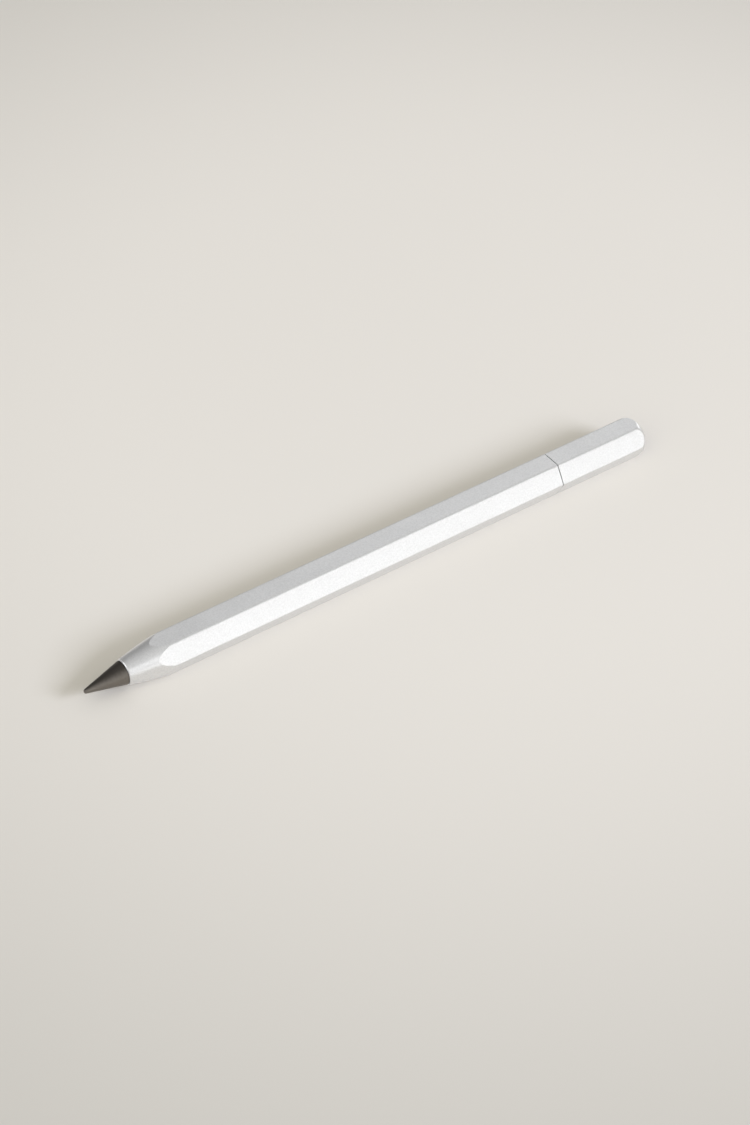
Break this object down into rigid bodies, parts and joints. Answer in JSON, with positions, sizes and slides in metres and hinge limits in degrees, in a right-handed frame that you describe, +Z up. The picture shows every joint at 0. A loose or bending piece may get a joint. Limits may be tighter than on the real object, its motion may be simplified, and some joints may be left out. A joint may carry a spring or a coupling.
{
  "type": "double-ended mechanical pencil",
  "caption": "Slim hexagonal metal pencil with a graphite cone point in a turned nose, and a pull-off rear cap over a twist-feed lead.",
  "frame": {"origin": "on the surface that the pencil lies on, under the middle of its box", "axes": "+X along the pencil from the graphite point to the cap, +Z up from the flat it lies on"},
  "size_m": [0.15, 0.0098, 0.0086],
  "materials": {
    "satin_aluminium": "bead-blasted and clear anodised, satin",
    "graphite": "solid graphite composite, turned, dull metallic sheen",
    "steel": "turned",
    "brass": "turned",
    "rubber": "moulded, matt",
    "nylon": "moulded, natural white",
    "pencil_lead": "extruded polymer graphite"
  },
  "bodies": {
    "barrel": {"barrel": "satin_aluminium", "rear_bush": "brass", "cap_o_ring": "rubber", "spiral_sleeve": "brass"},
    "cap": {"rear_cap": "satin_aluminium"},
    "twist": {"lead_nose": "satin_aluminium", "lead_sleeve": "steel", "lead_guide": "nylon", "guide_tube": "brass", "retaining_ring": "steel", "wave_washer": "steel", "thrust_washer": "nylon", "tail_plug": "nylon"},
    "feed": {"carrier": "nylon", "drive_pin": "steel", "push_rod": "steel", "lead_clip": "brass", "lead": "pencil_lead"},
    "tip_seal": {"tip_o_ring": "rubber"},
    "tip": {"graphite_tip": "graphite", "tip_stud": "steel"}
  },
  "joints": [
    {"name": "cap_pull", "type": "slide", "parent": "barrel", "child": "cap", "axis": [1, 0, 0], "range_m": [0, 0.04]},
    {"name": "nose_twist", "type": "hinge", "parent": "barrel", "child": "twist", "pos_m": [0.0555, 0, 0.0043], "axis": [1, 0, 0], "range_deg": [-1080, 420]},
    {"name": "lead_feed", "type": "slide", "parent": "twist", "child": "feed", "axis": [1, 0, 0], "range_m": [-0.018, 0.007]},
    {"name": "tip_out", "type": "slide", "parent": "barrel", "child": "tip_seal", "axis": [-1, 0, 0], "range_m": [0, 0.0063]},
    {"name": "tip_turn", "type": "hinge", "parent": "tip_seal", "child": "tip", "pos_m": [-0.0652, 0, 0.0043], "axis": [-1, 0, 0], "range_deg": [0, 3240]}
  ],
  "couplings": [
    {"joint": "nose_twist", "follows": "lead_feed", "rad_per_m": 1047.2},
    {"joint": "tip_turn", "follows": "tip_out", "rad_per_m": 8976}
  ]
}
